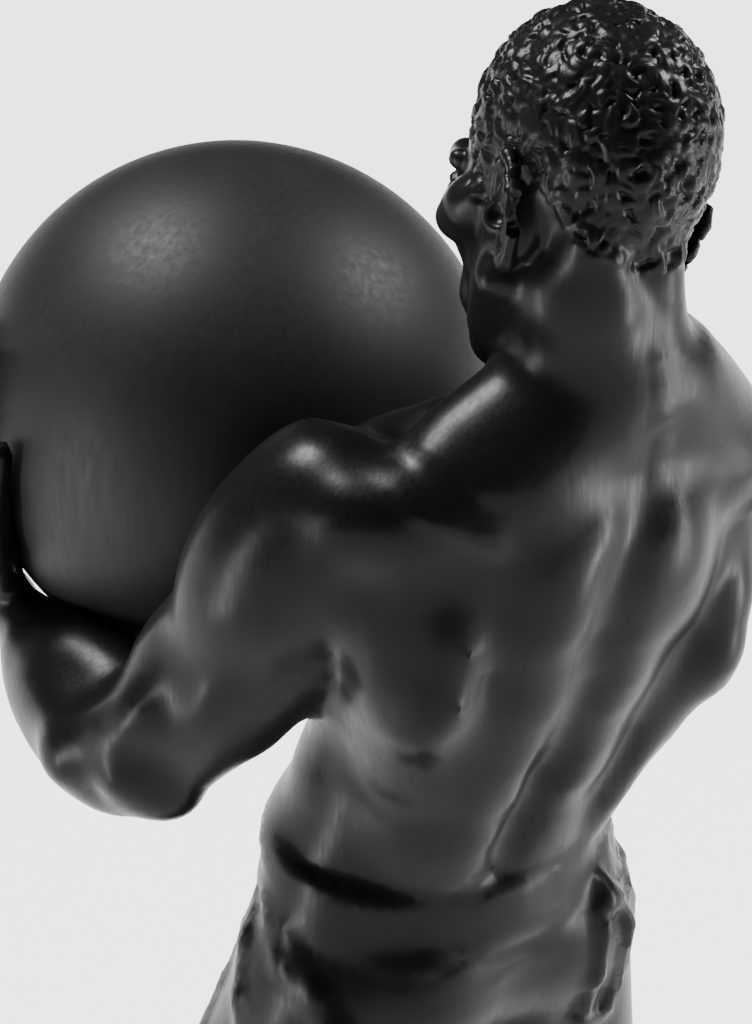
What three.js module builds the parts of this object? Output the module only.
// Atlas statue in black resin: a muscular man in loose trousers leans back under a great plain globe, on a low base.
import * as THREE from "three";

// Driving sizes, in millimetres.
const FIGURE_HEIGHT = 468; // sole to crown, leaning as it stands
const GLOBE_SHARE = 0.2553; // of the figure's height that the globe measures across
const BASE_HEIGHT = 20;
const BASE_MARGIN = 11; // of the base round the feet
const BASE_CORNER = 9;
const BASE_EDGE = 2; // bevel of the upper edge
const CLEARANCE = 0.3; // between two pieces that touch
const FIGURE_TRIANGLES = 8200;

// The figure is laid out as a man 1.8 m tall would be, in life-size millimetres, and then brought to its height.
const LIFE_HEIGHT = 1738.3; // sole to crown of the pose below
const UNIT = FIGURE_HEIGHT / LIFE_HEIGHT;
const GLOBE_DIAMETER = FIGURE_HEIGHT * GLOBE_SHARE;
const GLOBE_RADIUS = (LIFE_HEIGHT * GLOBE_SHARE) / 2;
const SKIN_CELL = 11.15; // of the grid that the figure's skin is drawn on
const HEAD_SIZE = 1.1; // against life, as the statue has it

// Vectors
const plus = (a, b) => [a[0] + b[0], a[1] + b[1], a[2] + b[2]];
const minus = (a, b) => [a[0] - b[0], a[1] - b[1], a[2] - b[2]];
const times = (a, k) => [a[0] * k, a[1] * k, a[2] * k];
const dot = (a, b) => a[0] * b[0] + a[1] * b[1] + a[2] * b[2];
const cross = (a, b) => [
  a[1] * b[2] - a[2] * b[1],
  a[2] * b[0] - a[0] * b[2],
  a[0] * b[1] - a[1] * b[0],
];
const size = (a) => Math.hypot(a[0], a[1], a[2]);
const unit = (a) => times(a, 1 / size(a));
const off = (a, axis) => unit(minus(a, times(axis, dot(a, axis))));
const mid = (a, b, t = 0.5) => plus(times(a, 1 - t), times(b, t));

/** Places points by left, ahead and above of an origin. */
function frame(origin, upward, front, scale = 1) {
  const u = unit(upward);
  const f = off(front, u);
  const l = cross(u, f);
  return (left, ahead, above) => {
    const across = plus(times(l, left * scale), times(f, ahead * scale));
    return plus(origin, plus(across, times(u, above * scale)));
  };
}

/** Places points by outward, ahead and distance along a limb; side is 1 on the left and -1 on the right. */
function limb(start, end, outward, side, girth = 1) {
  const u = unit(minus(end, start));
  const o = off(outward, u);
  const f = times(cross(u, o), side);
  return (out, ahead, along) => {
    const across = plus(times(o, out * girth), times(f, ahead * girth));
    return plus(start, plus(across, times(u, along)));
  };
}

/** The lower of two distances, rounded over where they are less than blend apart. */
function smoothJoin(a, b, blend) {
  const h = Math.max(blend - Math.abs(a - b), 0) / blend;
  return Math.min(a, b) - (h * h * blend) / 4;
}

/** A ball at a and one at b with the taper between them. */
function coneField(a, b, ra, rb) {
  const ba = minus(b, a);
  const l2 = dot(ba, ba);
  const rr = ra - rb;
  const a2 = l2 - rr * rr;
  const bend = Math.sign(rr) * rr * rr;
  return (x, y, z) => {
    const px = x - a[0];
    const py = y - a[1];
    const pz = z - a[2];
    const along = px * ba[0] + py * ba[1] + pz * ba[2];
    const past = along - l2;
    const qx = px * l2 - ba[0] * along;
    const qy = py * l2 - ba[1] * along;
    const qz = pz * l2 - ba[2] * along;
    const x2 = qx * qx + qy * qy + qz * qz;
    const y2 = along * along * l2;
    const z2 = past * past * l2;
    const k = bend * x2;
    if (Math.sign(past) * a2 * z2 > k) return Math.sqrt(x2 + z2) / l2 - rb;
    if (Math.sign(along) * a2 * y2 < k) return Math.sqrt(x2 + y2) / l2 - ra;
    return (Math.sqrt((x2 * a2) / l2) + along * rr) / l2 - ra;
  };
}

/** An ellipsoid about its centre, on three axes. */
function lumpField(centre, axes, radii) {
  const least = -Math.min(...radii);
  return (x, y, z) => {
    const p = [x - centre[0], y - centre[1], z - centre[2]];
    let k0 = 0;
    let k1 = 0;
    for (let i = 0; i < 3; i++) {
      const q = dot(p, axes[i]) / radii[i];
      k0 += q * q;
      k1 += (q * q) / (radii[i] * radii[i]);
    }
    k0 = Math.sqrt(k0);
    return Math.max((k0 * (k0 - 1)) / (Math.sqrt(k1) + 1e-9), least);
  };
}

/** Soft forms added or cut away one after another, each blended over its own width. */
class Clay {
  steps = [];
  girth = 1; // of what is added next, against its drawing

  keep(field, a, b, reach, blend, cut) {
    this.steps.push({ field, middle: mid(a, b), reach: size(minus(b, a)) / 2 + reach, blend, cut });
  }

  cone(a, b, ra, rb, blend, cut = false) {
    const [r0, r1] = [ra * this.girth, rb * this.girth];
    this.keep(coneField(a, b, r0, r1), a, b, Math.max(r0, r1), blend, cut);
  }

  ball(centre, radius, blend, cut = false) {
    this.cone(centre, plus(centre, [0, 0, 0.01]), radius, radius, blend, cut);
  }

  /** An ellipsoid from a to b, half as broad as wide, and thick towards the point core. */
  lump(a, b, wide, thick, core, blend, cut = false) {
    const along = unit(minus(b, a));
    const inward = off(minus(core, mid(a, b)), along);
    const axes = [along, cross(inward, along), inward];
    const radii = [size(minus(b, a)) / 2, wide * this.girth, thick * this.girth];
    this.keep(lumpField(mid(a, b), axes, radii), a, b, Math.max(radii[1], radii[2]), blend, cut);
  }

  /** An oval band from a to b with rounded rims; at each end it is half as broad as wide and as thick as thick. */
  band(a, b, wide, thick, core, rim, blend) {
    const along = unit(minus(b, a));
    const inward = off(minus(core, mid(a, b)), along);
    const across = cross(inward, along);
    const long = size(minus(b, a));
    const field = (x, y, z) => {
      const p = [x - a[0], y - a[1], z - a[2]];
      const t = dot(p, along);
      const share = Math.min(Math.max(t / long, 0), 1);
      const w = wide[0] + (wide[1] - wide[0]) * share;
      const h = thick[0] + (thick[1] - thick[0]) * share;
      const k0 = Math.hypot(dot(p, across) / w, dot(p, inward) / h);
      const k1 = Math.hypot(dot(p, across) / (w * w), dot(p, inward) / (h * h)) + 1e-9;
      const side = (k0 * (k0 - 1)) / k1 + rim;
      const end = Math.abs(t - long / 2) - long / 2 + rim;
      return Math.min(Math.max(side, end), 0) + Math.hypot(Math.max(side, 0), Math.max(end, 0)) - rim;
    };
    this.keep(field, a, b, Math.max(...wide, ...thick), blend, false);
  }

  /** Cones through a list of points and radii. */
  strand(points, radii, blend, cut = false) {
    for (let i = 1; i < points.length; i++) {
      this.cone(points[i - 1], points[i], radii[i - 1], radii[i], blend, cut);
    }
  }

  near(steps, centre, reach) {
    return steps.filter((s) => size(minus(s.middle, centre)) < s.reach + s.blend + reach);
  }

  distance(steps, x, y, z) {
    let d = 1e4;
    for (const s of steps) {
      const e = s.field(x, y, z);
      d = s.cut ? -smoothJoin(-d, e, s.blend) : smoothJoin(d, e, s.blend);
    }
    return d;
  }
}

// Pose
const pelvis = frame([0, 0, 975], [-0.04, 0.02, 1], [0.02, -1, 0]);
const chest = frame([-50, 36, 1255], [-0.2, 0.2, 1], [0, -1, 0]);
const head = frame([-69, 73, 1611], [-0.34, -0.33, 0.87], [-0.02, -0.93, -0.37], HEAD_SIZE);
const CHEST_FRONT = 101; // from the middle of the chest to where the globe leans on it
const GLOBE_CENTRE = chest(45, CHEST_FRONT + GLOBE_RADIUS, -22);
const ARM_GIRTH = 1.1;
const HAND_SIZE = 1.12;
const LEGS = [
  { side: 1, hip: [92, 5, 915], knee: [162, -182, 520], ankle: [156, -160, 84], heading: [0.25, -1, 0] },
  { side: -1, hip: [-88, 5, 920], knee: [-126, 52, 492], ankle: [-158, 215, 84], heading: [-0.5, -1, 0] },
];
const ARMS = [
  { side: 1, shoulder: chest(184, 38, 90), elbow: [204, -100, 1140], wrist: [0.82, -0.175, -0.546] },
  { side: -1, shoulder: chest(-184, 38, 90), elbow: chest(-204, 130, -170), wrist: [-0.77, -0.28, -0.57] },
];

/** A point over the globe, in a direction from its centre. */
const overGlobe = (direction, out) => plus(GLOBE_CENTRE, times(unit(direction), GLOBE_RADIUS + out));

function torso(c) {
  c.lump(chest(0, 0, -215), chest(0, -4, 205), 146, 108, chest(0, 200, 0), 10);
  c.lump(chest(-176, -14, 106), chest(176, -14, 106), 76, 64, chest(0, 200, 106), 60);
  c.lump(pelvis(0, 0, -90), pelvis(0, -2, 150), 134, 96, pelvis(0, 300, 30), 60);
  c.lump(pelvis(0, 4, 20), chest(0, 6, -60), 114, 90, chest(0, 300, -100), 60);
  for (const s of [1, -1]) {
    breast(c, s);
    belly(c, s);
    back(c, s);
  }
  furrows(c);
}

function breast(c, s) {
  c.lump(chest(s * 8, 92, 30), chest(s * 168, 58, 108), 64, 34, chest(s * 60, 0, 60), 16);
  c.lump(chest(s * 20, 98, 92), chest(s * 164, 50, 118), 34, 24, chest(s * 60, 0, 60), 18);
  c.strand([chest(s * 8, 84, 146), chest(s * 90, 62, 154), chest(s * 140, 36, 122)], [10, 9, 6], 26);
}

function belly(c, s) {
  c.lump(pelvis(s * 100, 12, 10), chest(s * 110, 24, -90), 54, 34, pelvis(0, 0, 120), 24);
  for (const [above, wide] of [[-62, 23], [-109, 24], [-156, 25]]) {
    const ahead = 104 + (above + 62) * 0.07;
    const core = chest(s * 30, 0, above);
    c.lump(chest(s * 4, ahead, above), chest(s * 62, ahead - 12, above + 4), wide, 18, core, 10);
  }
  c.lump(pelvis(s * 34, 88, -40), chest(s * 32, 90, -180), 34, 18, pelvis(0, 0, 60), 12);
  for (let i = 0; i < 4; i++) {
    const start = chest(s * (112 + 2 * i), 78 - i * 13, 12 - i * 34);
    const end = chest(s * (150 - 4 * i), 22 - i * 12, 34 - i * 36);
    c.lump(start, end, 16, 14, chest(0, 0, 0), 10);
  }
}

/** The points moved in against a way until they lie on the clay, and raised out of it again. */
function laid(c, points, way, out) {
  return points.map((start) => {
    let p = plus(start, times(way, 260));
    for (let i = 0; i < 20; i++) p = minus(p, times(way, c.distance(c.steps, ...p)));
    return plus(p, times(way, out));
  });
}

/** The furrow of the spine: above, how far it swings to the left, ahead and its half width. */
const SPINE = [
  [-320, 16, -104, 11], [-230, 28, -104, 11], [-148, 32, -111, 11], [-76, 26, -117, 12], [0, 18, -127, 13],
  [60, 24, -131, 15], [110, 27, -127, 15], [156, 14, -114, 12], [196, 4, -102, 10],
];
/** The columns beside it: above, how far the middle swings to the left, half the way between them, ahead and girth. */
const COLUMNS = [
  [-330, 16, 34, -48, 38], [-230, 28, 34, -48, 43], [-150, 32, 34, -54, 45], [-76, 26, 34, -64, 44],
  [0, 18, 38, -68, 41], [60, 24, 45, -70, 38], [104, 27, 48, -66, 37], [150, 15, 46, -46, 36], [196, 4, 30, -42, 28],
];

function back(c, s) {
  const core = chest(0, 0, 60);
  const outward = minus(chest(0, -1, 0), chest(0, 0, 0));
  // the broad muscle of the back, and those on the shoulder blade
  c.lump(chest(s * 166, 2, 90), chest(s * 62, -62, -205), 76 + 4 * s, 34, chest(0, 0, -40), 26);
  c.lump(chest(s * 178, -34, 112), chest(s * 118, -66, -110), 50, 33, core, 30);
  c.cone(chest(s * 140, -72, -26), chest(s * 182, -22, 46), 20, 18, 30);
  c.lump(chest(s * 172, 6, 60), chest(s * 214, 58, -150), 34, 29, chest(s * 150, 60, 0), 14);
  // the two columns beside the spine
  const column = COLUMNS.map(([above, swing, half, ahead]) => chest(swing + s * half, ahead, above));
  c.strand(column, COLUMNS.map((p) => p[4]), 26);
  c.lump(chest(s * 44, -82, 150), chest(s * 84, -84, 30), 36, 22, core, 26);
  // the shoulder blade's inner border, the slope from neck to shoulder and the bar below it
  const border = [[128, 122], [129, 88], [136, 44], [142, -2], [150, -30]].map(([x, z]) => chest(s * x, -60, z));
  c.strand(laid(c, border, outward, -9), [9, 13, 14, 12, 8], 26);
  c.lump(chest(s * 10, -32, 266), chest(s * 186, -14, 128), 42, 30, chest(0, 0, 120), 34);
  c.strand([chest(s * 20, -46, 236), chest(s * 100, -46, 160), chest(s * 164, -30, 118)], [37, 34, 26], 30);
  c.lump(chest(s * 14, -92, 150), chest(s * 14, -92, 10), 40, 14, core, 26);
  const slant = unit(minus(chest(0, -1, 1), chest(0, 0, 0)));
  const bar = [[130, 126], [150, 132], [170, 138], [186, 142]].map(([x, z]) => chest(s * x, -60, z));
  c.strand(laid(c, bar, slant, -4), [7, 8, 9, 8], 14);
}

function furrows(c) {
  const low = SPINE.slice(0, 5);
  c.strand(low.map(([above, swing, ahead]) => chest(swing, ahead + 42, above)), low.map(() => 24), 26);
  c.strand(SPINE.map(([above, swing, ahead]) => chest(swing, ahead, above)), SPINE.map((p) => p[3]), 20, true);
  c.cone(chest(0, 126, 110), chest(0, 128, 0), 9, 10, 16, true);
  c.cone(chest(0, 116, -50), chest(0, 110, -200), 6, 6, 12, true);
}

function neck(c) {
  c.cone(chest(0, -14, 160), head(0, -10, -66), 64, 54, 26);
  for (const s of [1, -1]) {
    c.cone(chest(s * 16, 64, 162), head(s * 62, -6, -30), 13, 15, 14);
    c.cone(chest(s * 22, -54, 186), head(s * 24, -50, -42), 24, 22, 18);
  }
  c.cone(chest(0, 44, 186), head(0, 30, -88), 22, 24, 16);
  const knobs = [[-2, 196], [5, 212], [14, 236], [22, 256], [30, 274]].map(([x, z]) => chest(x, -60, z));
  for (const knob of laid(c, knobs, minus(chest(0, -1, 0), chest(0, 0, 0)), -3)) c.ball(knob, 7, 5);
}

function skull(c) {
  c.lump(head(0, -92, 12), head(0, 80, 16), 74, 88, head(0, 0, -200), 10);
  c.lump(head(0, -6, 60), head(0, 56, -98), 58, 62, head(0, 0, 200), 24);
  c.cone(head(0, 58, -88), head(0, 66, -94), 25, 19, 16);
  c.lump(head(0, -101, 0), head(0, 73, 64), 82, 94, head(0, 0, 200), 12);
  for (const s of [1, -1]) {
    c.cone(head(s * 54, 10, -66), head(s * 20, 58, -90), 15, 16, 18);
    c.lump(head(s * 48, 62, -20), head(s * 66, 14, -14), 16, 14, head(0, 0, 0), 14);
    c.lump(head(s * 76, -20, 6), head(s * 68, -10, -60), 20, 12, head(0, -20, -28), 6);
    c.lump(head(s * 68, -28, -4), head(s * 62, -18, -54), 15, 13, head(0, -20, -28), 8);
  }
  c.lump(head(0, 76, 30), head(0, 80, -62), 46, 28, head(0, 0, -20), 20);
  c.cone(head(0, 98, 12), head(0, 114, -24), 9, 12, 10);
}

function arm(c, { side, shoulder, elbow, wrist }) {
  c.girth = ARM_GIRTH;
  const up = limb(shoulder, elbow, [side, 0.3, 0.2], side, ARM_GIRTH);
  const long = size(minus(elbow, shoulder));
  c.cone(up(0, 0, -6), up(0, 0, long), 48, 34, 20);
  // shoulder cap in three heads
  c.lump(up(6, 2, -62), up(14, 2, 168), 64, 56, up(-60, 0, 50), 18);
  c.lump(up(-2, 42, -42), up(16, 16, 150), 34, 30, up(0, 0, 60), 12);
  c.lump(up(-6, -42, -40), up(16, -14, 150), 34, 30, up(0, 0, 60), 12);
  for (const [start, end] of [[[208, -2, 122], [222, -6, 60]], [[184, -16, 98], [198, -14, 46]]]) {
    c.cone(chest(side * start[0], start[1], start[2]), chest(side * end[0], end[1], end[2]), 12, 12, 10);
  }
  c.cone(chest(side * 146, -36, 134), chest(side * 196, -14, 112), 22, 22, 36);
  // upper arm, front and back
  c.lump(up(-4, 22, 78), up(-4, 22, long + 4), 38, 36, up(0, 0, 150), 14);
  c.lump(up(24, 8, 150), up(22, 10, long + 6), 20, 20, up(0, 0, 200), 12);
  c.lump(up(-18, -36, 24), up(-10, -26, long - 14), 39, 34, up(0, 0, 150), 12);
  c.lump(up(22, -24, 66), up(16, -24, long - 40), 28, 26, up(0, 0, 150), 10);
  c.cone(up(-26, -34, 60), up(-22, -32, long - 90), 32, 26, 20);
  c.cone(up(2, -26, long - 90), up(0, -24, long - 6), 24, 22, 14);
  c.ball(up(0, -28, long + 2), 19, 14);
  c.ball(up(-32, -2, long - 2), 15, 14);
  c.ball(up(30, -2, long - 4), 15, 14);
  forearm(c, side, up, long, elbow, overGlobe(wrist, 20));
  c.girth = 1;
  hand(c, side, wrist);
}

function forearm(c, side, up, long, elbow, wrist) {
  const fore = limb(elbow, wrist, [side, 0.2, -0.6], side, ARM_GIRTH);
  const reach = size(minus(wrist, elbow));
  c.cone(fore(0, 0, 0), fore(0, 0, reach * 0.5), 39, 39, 16);
  c.cone(fore(0, 0, reach * 0.5), fore(0, 0, reach), 36, 25, 16);
  c.cone(up(30, 8, long - 62), fore(30, 12, 40), 20, 28, 14);
  c.cone(fore(30, 12, 40), fore(14, 8, reach * 0.72), 28, 16, 14);
  c.lump(fore(32, -18, -8), fore(18, -14, reach * 0.88), 36, 34, fore(0, 0, 90), 16);
  c.lump(fore(-26, 6, -20), fore(-12, 4, reach * 0.86), 34, 32, fore(0, 0, 90), 12);
  c.cone(fore(-6, -30, 10), fore(-12, -14, reach * 0.9), 13, 11, 12);
}

/** A hand laid on the globe: the wrist is a direction, and the fingers fan out from it over the globe. */
function hand(c, side, wrist) {
  const at = unit(wrist);
  const ahead = off([0, -1, 0], at);
  const upward = times(cross(ahead, at), side);
  const reach = (length, turn, out) => {
    const a = (length * HAND_SIZE) / GLOBE_RADIUS;
    const t = (turn * Math.PI) / 180;
    const way = plus(times(ahead, Math.cos(t)), times(upward, Math.sin(t)));
    return overGlobe(plus(times(at, Math.cos(a)), times(way, Math.sin(a))), out);
  };
  c.cone(reach(-20, 50, 24), reach(30, 62, 18), 26, 24, 16);
  const fingers = [[82, 102, 192, 12], [67, 106, 204, 12.5], [53, 102, 194, 12], [40, 94, 172, 10.5]];
  for (const [turn, knuckle, tip, radius] of fingers) {
    c.cone(reach(14, 62, 18), reach(knuckle, turn, 14), 17, radius + 3, 16);
    const bones = [0, 0.48, 0.8, 1].map((t) => knuckle + (tip - knuckle) * t);
    const girths = [2, 1, 0, -1.5].map((more) => radius + more);
    c.strand(bones.map((b, i) => reach(b, turn, girths[i] + 1)), girths, 5);
  }
  c.strand([reach(10, 96, 20), reach(70, 112, 17), reach(112, 107, 14), reach(152, 104, 11)], [21, 18, 14, 10], 8);
}

/** Points laid on the clothed hips: degrees from the middle of the back to the left, above and out. */
function onHips(c, places) {
  return places.map(([turn, above, out]) => {
    const t = (turn * Math.PI) / 180;
    const way = minus(pelvis(Math.sin(t), -Math.cos(t), 0), pelvis(0, 0, 0));
    return laid(c, [pelvis(0, 0, above)], way, out)[0];
  });
}

function hips(c) {
  const front = pelvis(0, 300, 0);
  for (const s of [1, -1]) {
    c.lump(pelvis(s * 62, -58, 62), pelvis(s * 74, -54, -92), 72, 62, pelvis(s * 70, 0, -20), 24);
    c.lump(pelvis(s * 112, -8, 56), pelvis(s * 112, -14, -90), 58, 48, pelvis(0, 0, -20), 26);
  }
  c.lump(pelvis(0, 2, -130), pelvis(0, 2, 110), 160, 112, front, 30);
  c.lump(pelvis(0, -4, 50), pelvis(0, -6, 190), 108, 94, pelvis(0, 300, 100), 24);
  c.band(pelvis(0, 0, 40), pelvis(0, -2, 92), [157, 146], [118, 112], front, 6, 6);
  c.band(pelvis(0, 14, 60), pelvis(0, -6, 126), [149, 108], [112, 101], front, 6, 5);
}

/** The folds that lie on the finished forms of hips and thighs. */
function drape(c) {
  // gathers swept up to the right hip
  for (const [low, high, start] of [[46, 112, -30], [20, 70, -26], [-16, 30, -30], [-40, 6, -36]]) {
    const places = [0, 0.25, 0.5, 0.75, 1].map((t) => [start - 62 * t, low + (high - low) * t ** 1.3, -2]);
    c.strand(onHips(c, places), [3, 7, 8, 8, 6], 6);
  }
  // long folds down from the pinch at the left hip, across the seat
  for (const fold of [[[100, 44], [84, 14], [66, -26], [48, -72], [30, -124]], [[112, 36], [104, 4], [96, -36], [90, -84]]]) {
    c.strand(onHips(c, fold.map(([turn, above]) => [turn, above, -4])), fold.map((_, i) => 6 + 1.5 * i), 9);
  }
  // the band's loose end hangs as a loop behind the right hip
  const loop = [[-37, 30], [-35, 0], [-34, -36], [-35, -76], [-40, -98], [-46, -90], [-48, -50], [-47, -6], [-44, 28]];
  c.strand(onHips(c, loop.map(([turn, above]) => [turn, above, 2])), loop.map(() => 7.5), 4);
}

function trousers(c, { side, hip, knee, ankle }) {
  const thigh = limb(hip, knee, [side, 0, 0], side);
  const upper = size(minus(knee, hip));
  c.cone(thigh(2, 0, 0), thigh(0, 4, upper * 0.55), 92, 80, 30);
  c.cone(thigh(0, 4, upper * 0.55), thigh(0, 2, upper), 80, 64, 30);
  c.lump(thigh(8, 32, 30), thigh(6, 30, upper - 20), 64, 48, thigh(0, 0, 200), 30);
  c.lump(thigh(-4, -32, 60), thigh(0, -20, upper - 10), 54, 46, thigh(0, 0, 200), 30);
  const shin = limb(knee, ankle, [side, 0, 0], side);
  const lower = size(minus(ankle, knee));
  c.cone(shin(0, 0, 0), shin(0, -12, lower * 0.35), 64, 68, 26);
  c.cone(shin(0, -12, lower * 0.35), shin(0, 0, lower * 0.86), 68, 56, 26);
  // folds that swing round the knee and the shin
  for (const [from, to, swing] of [[0.5, 0.74, 1], [0.68, 0.92, -1], [0.84, 1.02, 1]]) {
    const points = [-70, 0, 70].map((t, i) => {
      const a = ((t * swing) * Math.PI) / 180;
      const along = upper * (from + ((to - from) * i) / 2);
      return thigh(Math.sin(a) * 66, -Math.cos(a) * 68, along);
    });
    c.strand(points, [8, 13, 8], 16);
  }
  for (const [at, deep] of [[0.2, 9], [0.52, 9], [0.68, 11], [0.8, 12]]) {
    const points = [-100, -30, 40, 110].map((t, i) => {
      const a = (t * Math.PI) / 180;
      const out = 62 - at * 8;
      return shin(Math.sin(a) * out, Math.cos(a) * out - 8, lower * (at + 0.03 * i));
    });
    c.strand(points, [deep - 3, deep + 2, deep, deep - 3], 14);
  }
}

/** Places points on a foot by ahead, inward and above the sole. */
function footPlan({ side, ankle, heading }) {
  const h = unit(heading);
  const inner = times(cross([0, 0, 1], h), -side);
  return (ahead, inward, above) => {
    const p = plus(ankle, plus(times(h, ahead), times(inner, inward)));
    return [p[0], p[1], above];
  };
}

function foot(c, leg) {
  const at = footPlan(leg);
  c.cone(at(0, 0, 150), at(0, 0, 60), 38, 38, 6);
  c.cone(at(-36, 0, 32), at(10, 0, 42), 32, 38, 16);
  c.cone(at(10, 4, 50), at(110, 8, 26), 38, 26, 18);
  c.cone(at(20, -10, 28), at(120, -26, 20), 30, 22, 18);
  c.ball(at(2, 34, 66), 15, 12);
  c.ball(at(-4, -36, 58), 15, 12);
  const toes = [[26, 178, 17], [5, 182, 13], [-11, 175, 12], [-25, 165, 11], [-38, 152, 10]];
  for (const [inward, tip, radius] of toes) {
    c.cone(at(108, inward * 0.9, 22), at(tip - 6, inward, radius - 1), radius + 3, radius, 7);
  }
}

function figureClay() {
  const c = new Clay();
  torso(c);
  neck(c);
  skull(c);
  hips(c);
  ARMS.forEach((a) => arm(c, a));
  LEGS.forEach((l) => trousers(c, l));
  drape(c);
  LEGS.forEach((l) => foot(c, l));
  return c;
}

/** Six tetrahedra round the diagonal of a cell; a corner's number holds its x, y and z as bits 1, 2 and 4. */
const TETRAHEDRA = [[0, 1, 3, 7], [0, 3, 2, 7], [0, 2, 6, 7], [0, 6, 4, 7], [0, 4, 5, 7], [0, 5, 1, 7]];
/** Even orders of a tetrahedron's corners that bring a chosen corner, or a chosen pair, to the front. */
const ONE_FIRST = [[0, 1, 2, 3], [1, 0, 3, 2], [2, 3, 0, 1], [3, 2, 1, 0]];
const PAIR_FIRST = {
  3: [0, 1, 2, 3], 5: [0, 2, 3, 1], 9: [0, 3, 1, 2], 6: [1, 2, 0, 3], 10: [1, 3, 2, 0], 12: [2, 3, 0, 1],
};

/** The closed skin of the clay as points and triangles: marching tetrahedra, block by block. */
function skin(field, clay, low, high, cell) {
  const BLOCK = 8;
  const points = [];
  const faces = [];
  const known = new Map();
  const counts = low.map((l, i) => Math.ceil((high[i] - l) / (cell * BLOCK)) * BLOCK + 1);
  const side = BLOCK + 1;
  const values = new Float64Array(side ** 3);
  const half = (BLOCK * cell * Math.sqrt(3)) / 2;

  const walkBlock = (i0, j0, k0, steps) => {
    const slot = (corner, i, j, k) =>
      i + (corner & 1) + side * (j + ((corner >> 1) & 1) + side * (k + ((corner >> 2) & 1)));
    for (let k = 0; k < side; k++)
      for (let j = 0; j < side; j++)
        for (let i = 0; i < side; i++) {
          const at = [low[0] + (i0 + i) * cell, low[1] + (j0 + j) * cell, low[2] + (k0 + k) * cell];
          values[i + side * (j + side * k)] = field(steps, ...at) || 1e-6;
        }
    const crossing = (i, j, k, a, b) => {
      const [from, to] = a < b ? [a, b] : [b, a];
      const x = i0 + i + (from & 1);
      const y = j0 + j + ((from >> 1) & 1);
      const z = k0 + k + ((from >> 2) & 1);
      const key = (x + counts[0] * (y + counts[1] * z)) * 8 + (from ^ to);
      if (!known.has(key)) {
        const v0 = values[slot(from, i, j, k)];
        const v1 = values[slot(to, i, j, k)];
        const t = Math.min(Math.max(v0 / (v0 - v1), 0.03), 0.97);
        const way = from ^ to;
        known.set(key, points.length);
        points.push([
          low[0] + (x + t * (way & 1)) * cell,
          low[1] + (y + t * ((way >> 1) & 1)) * cell,
          low[2] + (z + t * ((way >> 2) & 1)) * cell,
        ]);
      }
      return known.get(key);
    };
    for (let k = 0; k < BLOCK; k++)
      for (let j = 0; j < BLOCK; j++)
        for (let i = 0; i < BLOCK; i++) {
          for (const tetrahedron of TETRAHEDRA) {
            let inside = 0;
            tetrahedron.forEach((corner, n) => {
              if (values[slot(corner, i, j, k)] < 0) inside |= 1 << n;
            });
            if (inside === 0 || inside === 15) continue;
            const order = PAIR_FIRST[inside] ?? ONE_FIRST[Math.log2(inside in ONE_BIT ? inside : 15 - inside)];
            const [a, b, c, d] = order.map((n) => tetrahedron[n]);
            const edge = (p, q) => crossing(i, j, k, p, q);
            if (inside in PAIR_FIRST) {
              const quad = [edge(a, c), edge(a, d), edge(b, d), edge(b, c)];
              faces.push([quad[0], quad[1], quad[2]], [quad[0], quad[2], quad[3]]);
            } else {
              const face = [edge(a, b), edge(a, c), edge(a, d)];
              faces.push(inside in ONE_BIT ? face : face.reverse());
            }
          }
        }
  };

  for (let k = 0; k + BLOCK < counts[2]; k += BLOCK)
    for (let j = 0; j + BLOCK < counts[1]; j += BLOCK)
      for (let i = 0; i + BLOCK < counts[0]; i += BLOCK) {
        const centre = [i, j, k].map((n, axis) => low[axis] + (n + BLOCK / 2) * cell);
        const steps = clay.near(clay.steps, centre, half + 6);
        if (steps.length && Math.abs(field(steps, ...centre)) < half * 1.6) walkBlock(i, j, k, steps);
      }
  return { points, faces };
}
const ONE_BIT = { 1: 0, 2: 1, 4: 2, 8: 3 };

/** A heap of edges, the cheapest on top. */
class Heap {
  constructor(items) {
    this.items = items.sort((p, q) => p.cost - q.cost);
  }

  push(item) {
    const list = this.items;
    let i = list.push(item) - 1;
    while (i > 0) {
      const parent = (i - 1) >> 1;
      if (list[parent].cost <= item.cost) break;
      list[i] = list[parent];
      i = parent;
    }
    list[i] = item;
  }

  pop() {
    const list = this.items;
    const top = list[0];
    const item = list.pop();
    if (!list.length) return top;
    let i = 0;
    for (;;) {
      let child = 2 * i + 1;
      if (child >= list.length) break;
      if (child + 1 < list.length && list[child + 1].cost < list[child].cost) child++;
      if (list[child].cost >= item.cost) break;
      list[i] = list[child];
      i = child;
    }
    list[i] = item;
    return top;
  }
}

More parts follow.
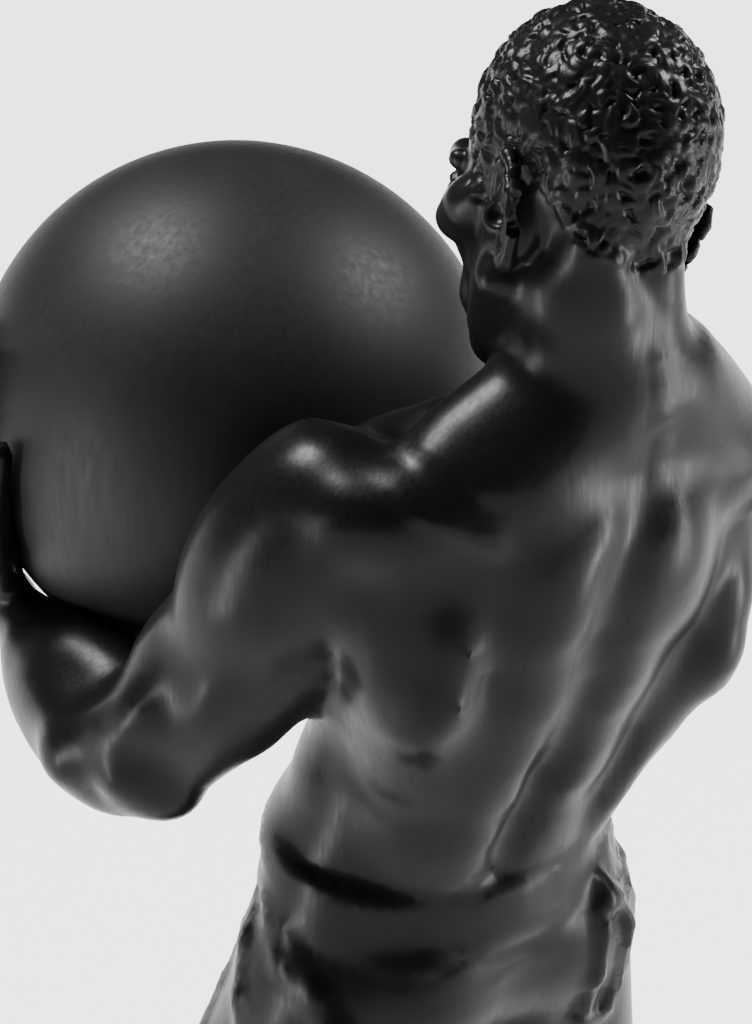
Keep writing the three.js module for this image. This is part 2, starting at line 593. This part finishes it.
/** A closed skin of triangles whose edges can be merged. */
class Mesh {
  constructor({ points, faces }) {
    this.place = Float64Array.from(points.flat());
    this.corner = Int32Array.from(faces.flat());
    this.around = points.map(() => []);
    faces.forEach((face, n) => face.forEach((v) => this.around[v].push(n)));
    this.stamp = new Int32Array(points.length);
    this.marked = new Int32Array(points.length);
    this.mark = 0;
    this.gone = new Uint8Array(faces.length);
    this.count = faces.length;
  }

  read(v) {
    return [this.place[3 * v], this.place[3 * v + 1], this.place[3 * v + 2]];
  }

  cornersOf(n) {
    return [this.corner[3 * n], this.corner[3 * n + 1], this.corner[3 * n + 2]];
  }

  /** How many points are joined to both ends of an edge. */
  shared(a, b) {
    this.mark += 2;
    for (const n of this.around[a]) for (const v of this.cornersOf(n)) this.marked[v] = this.mark;
    let count = 0;
    for (const n of this.around[b])
      for (const v of this.cornersOf(n)) {
        if (v === a || v === b || this.marked[v] !== this.mark) continue;
        this.marked[v] = this.mark + 1;
        count++;
      }
    return count;
  }

  /** True where moving v to a spot turns none of its faces far, nor makes a worse sliver of one. */
  holds(v, other, spot, { turn, sliver }) {
    for (const n of this.around[v]) {
      const three = this.cornersOf(n);
      if (three.includes(other)) continue;
      const i = three.indexOf(v);
      const b = this.read(three[(i + 1) % 3]);
      const c = this.read(three[(i + 2) % 3]);
      const a = this.read(v);
      const side = minus(c, b);
      const was = cross(side, minus(a, b));
      const is = cross(side, minus(spot, b));
      const wasLong = Math.max(size(side), size(minus(a, b)), size(minus(a, c)));
      const isLong = Math.max(size(side), size(minus(spot, b)), size(minus(spot, c)));
      const shape = size(is) / isLong ** 2;
      if (shape < sliver && shape < size(was) / wasLong ** 2) return false;
      if (dot(was, is) < turn * size(was) * size(is)) return false;
    }
    return true;
  }

  merge(a, b, spot) {
    for (const n of this.around[b]) {
      const three = this.cornersOf(n);
      if (three.includes(a)) {
        this.gone[n] = 1;
        this.count--;
        for (const v of three) if (v !== b) this.around[v] = this.around[v].filter((m) => m !== n);
      } else {
        this.corner[3 * n + three.indexOf(b)] = a;
        this.around[a].push(n);
      }
    }
    for (let i = 0; i < 3; i++) this.place[3 * a + i] = spot[i];
    this.around[b] = null;
    this.stamp[a] += this.stamp[b] + 1;
  }

  /** Merges edges, the cheapest first, until a price or a count is reached; rule says what an edge costs. */
  mergeEdges(rule, limits) {
    const { price = Infinity, most = 0 } = limits;
    const edge = (a, b) => ({ cost: rule.cost(a, b), a, b, stamps: this.stamp[a] + this.stamp[b] });
    const first = [];
    for (let n = 0; n < this.gone.length; n++) {
      if (this.gone[n]) continue;
      const three = this.cornersOf(n);
      for (let i = 0; i < 3; i++) {
        const a = three[i];
        const b = three[(i + 1) % 3];
        if (a < b) first.push(edge(a, b));
      }
    }
    const heap = new Heap(first);
    while (this.count > most && heap.items.length) {
      const { cost, a, b, stamps } = heap.pop();
      if (cost > price) break;
      if (!this.around[a] || !this.around[b] || this.stamp[a] + this.stamp[b] !== stamps) continue;
      rule.cost(a, b);
      const spot = [...rule.spot];
      if (this.shared(a, b) !== 2 || !this.holds(a, b, spot, limits) || !this.holds(b, a, spot, limits)) continue;
      this.merge(a, b, spot);
      rule.merged(a, b);
      this.mark += 2;
      for (const n of this.around[a])
        for (const v of this.cornersOf(n)) {
          if (v === a || this.marked[v] === this.mark) continue;
          this.marked[v] = this.mark;
          heap.push(edge(a, v));
        }
    }
  }

  /** The points and faces that are left. */
  rest() {
    const kept = new Map();
    const points = [];
    const faces = [];
    for (let n = 0; n < this.gone.length; n++) {
      if (this.gone[n]) continue;
      faces.push(this.cornersOf(n).map((v) => {
        if (!kept.has(v)) {
          kept.set(v, points.length);
          points.push(this.read(v));
        }
        return kept.get(v);
      }));
    }
    return { points, faces };
  }
}

/** An edge costs its length, and is merged at its middle. */
class LengthRule {
  spot = [0, 0, 0];

  constructor(mesh) {
    this.mesh = mesh;
  }

  cost(a, b) {
    const { place } = this.mesh;
    for (let i = 0; i < 3; i++) this.spot[i] = (place[3 * a + i] + place[3 * b + i]) / 2;
    return size(minus(this.spot, this.mesh.read(a))) * 2;
  }

  merged() {}
}

/** An edge costs what its merged point, at its best place, strays from the planes that it stands for. */
class PlaneRule {
  static TERMS = 10; // of a sum of squared distances to planes
  spot = [0, 0, 0];
  q = new Float64Array(PlaneRule.TERMS);

  constructor(mesh) {
    this.mesh = mesh;
    this.sums = new Float64Array(mesh.around.length * PlaneRule.TERMS);
    for (let n = 0; n < mesh.gone.length; n++) {
      if (mesh.gone[n]) continue;
      const three = mesh.cornersOf(n);
      const [a, b, c] = three.map((v) => mesh.read(v));
      const normal = cross(minus(b, a), minus(c, a));
      const area = size(normal) / 2;
      if (area < 1e-9) continue;
      const u = unit(normal);
      const plane = [u[0], u[1], u[2], -dot(u, a)];
      let slot = 0;
      for (let i = 0; i < 4; i++)
        for (let j = i; j < 4; j++) {
          for (const v of three) this.sums[v * PlaneRule.TERMS + slot] += area * plane[i] * plane[j];
          slot++;
        }
    }
  }

  cost(a, b) {
    const { q, spot, sums } = this;
    const { place } = this.mesh;
    for (let i = 0; i < PlaneRule.TERMS; i++) q[i] = sums[a * PlaneRule.TERMS + i] + sums[b * PlaneRule.TERMS + i];
    const mx = (place[3 * a] + place[3 * b]) / 2;
    const my = (place[3 * a + 1] + place[3 * b + 1]) / 2;
    const mz = (place[3 * a + 2] + place[3 * b + 2]) / 2;
    const half = Math.hypot(place[3 * a] - mx, place[3 * a + 1] - my, place[3 * a + 2] - mz);
    // a little pull to the middle keeps the sums solvable on flats
    const pull = 1e-3 * (q[0] + q[4] + q[7]) + 1e-9;
    const m0 = q[0] + pull;
    const m3 = q[4] + pull;
    const m5 = q[7] + pull;
    const rx = pull * mx - q[3];
    const ry = pull * my - q[6];
    const rz = pull * mz - q[8];
    const c0 = m3 * m5 - q[5] * q[5];
    const c1 = q[2] * q[5] - q[1] * m5;
    const c2 = q[1] * q[5] - q[2] * m3;
    const c4 = m0 * m5 - q[2] * q[2];
    const c5 = q[1] * q[2] - m0 * q[5];
    const c8 = m0 * m3 - q[1] * q[1];
    const whole = m0 * c0 + q[1] * c1 + q[2] * c2;
    spot[0] = (c0 * rx + c1 * ry + c2 * rz) / whole;
    spot[1] = (c1 * rx + c4 * ry + c5 * rz) / whole;
    spot[2] = (c2 * rx + c5 * ry + c8 * rz) / whole;
    if (!(Math.hypot(spot[0] - mx, spot[1] - my, spot[2] - mz) < 2 * half)) {
      spot[0] = mx;
      spot[1] = my;
      spot[2] = mz;
    }
    const [x, y, z] = spot;
    const strain =
      q[0] * x * x + 2 * q[1] * x * y + 2 * q[2] * x * z + 2 * q[3] * x +
      q[4] * y * y + 2 * q[5] * y * z + 2 * q[6] * y + q[7] * z * z + 2 * q[8] * z + q[9];
    return Math.max(strain, 0) + 4e-3 * half ** 4;
  }

  merged(a, b) {
    for (let i = 0; i < PlaneRule.TERMS; i++) this.sums[a * PlaneRule.TERMS + i] += this.sums[b * PlaneRule.TERMS + i];
  }
}

/** Merges a skin's shortest edges, and then those that matter least, until it has only so many triangles. */
function thin(rough, cell, most) {
  const mesh = new Mesh(rough);
  mesh.mergeEdges(new LengthRule(mesh), { price: cell * 0.5, turn: -1, sliver: 0 });
  const planes = new PlaneRule(mesh);
  // a merge may tilt a face by the angle with the cosine turn; sliver is twice an area against an edge squared
  for (const sliver of [0.1, 0.06, 0.03, 0.01]) mesh.mergeEdges(planes, { most, turn: 0.6, sliver });
  return mesh.rest();
}

// Where the figure stands: the middle of its feet is over the middle of the base.
const FOOT_REACH = { heel: 68, toes: 182, inner: 41, outer: 45 }; // from the ankle, life-size
const SOLES = LEGS.flatMap((leg) => {
  const at = footPlan(leg);
  const { heel, toes, inner, outer } = FOOT_REACH;
  return [at(-heel, inner, 0), at(-heel, -outer, 0), at(toes, inner, 0), at(toes, -outer, 0)];
});
const STANCE = new THREE.Box2().setFromPoints(SOLES.map((p) => new THREE.Vector2(p[0], p[1])));
const STANCE_MIDDLE = STANCE.getCenter(new THREE.Vector2());
const STANCE_SIZE = STANCE.getSize(new THREE.Vector2());
const toStatue = (p) => [
  (p[0] - STANCE_MIDDLE.x) * UNIT,
  (p[1] - STANCE_MIDDLE.y) * UNIT,
  p[2] * UNIT + BASE_HEIGHT + CLEARANCE,
];

function resin(colour, roughness) {
  return new THREE.MeshStandardMaterial({ color: colour, roughness, metalness: 0 });
}

function figure() {
  const clay = figureClay();
  const gap = (CLEARANCE + 0.4) / UNIT;
  const field = (steps, x, y, z) => {
    const d = clay.distance(steps, x, y, z);
    const overBall = GLOBE_RADIUS + gap - Math.hypot(x - GLOBE_CENTRE[0], y - GLOBE_CENTRE[1], z - GLOBE_CENTRE[2]);
    return Math.max(d, overBall, -z);
  };
  const rough = skin(field, clay, [-420, -640, -20], [420, 420, 1860], SKIN_CELL);
  const { points, faces } = thin(rough, SKIN_CELL, FIGURE_TRIANGLES);
  const geometry = new THREE.BufferGeometry();
  const flat = points.flatMap(toStatue);
  geometry.setAttribute("position", new THREE.Float32BufferAttribute(flat, 3));
  geometry.setIndex(faces.flat());
  geometry.computeVertexNormals();
  const mesh = new THREE.Mesh(geometry, resin(0x1c1b19, 0.36));
  mesh.name = "figure";
  return mesh;
}

function globe() {
  const mesh = new THREE.Mesh(new THREE.SphereGeometry(GLOBE_DIAMETER / 2, 32, 18), resin(0x262626, 0.5));
  mesh.position.set(...toStatue(GLOBE_CENTRE));
  mesh.rotation.x = Math.PI / 2;
  mesh.name = "globe";
  return mesh;
}

function base() {
  const x = (STANCE_SIZE.x * UNIT) / 2 + BASE_MARGIN - BASE_EDGE;
  const y = (STANCE_SIZE.y * UNIT) / 2 + BASE_MARGIN - BASE_EDGE;
  const r = BASE_CORNER - BASE_EDGE;
  const plan = new THREE.Shape();
  plan.absarc(x - r, y - r, r, 0, Math.PI / 2);
  plan.absarc(r - x, y - r, r, Math.PI / 2, Math.PI);
  plan.absarc(r - x, r - y, r, Math.PI, Math.PI * 1.5);
  plan.absarc(x - r, r - y, r, Math.PI * 1.5, Math.PI * 2);
  const geometry = new THREE.ExtrudeGeometry(plan, {
    depth: BASE_HEIGHT - 2 * BASE_EDGE,
    curveSegments: 6,
    bevelSize: BASE_EDGE,
    bevelThickness: BASE_EDGE,
    bevelSegments: 2,
  });
  geometry.translate(0, 0, BASE_EDGE);
  const mesh = new THREE.Mesh(geometry, resin(0x1c1b19, 0.4));
  mesh.name = "base";
  return mesh;
}

const statue = new THREE.Group();
statue.add(base(), figure(), globe());
export default statue;
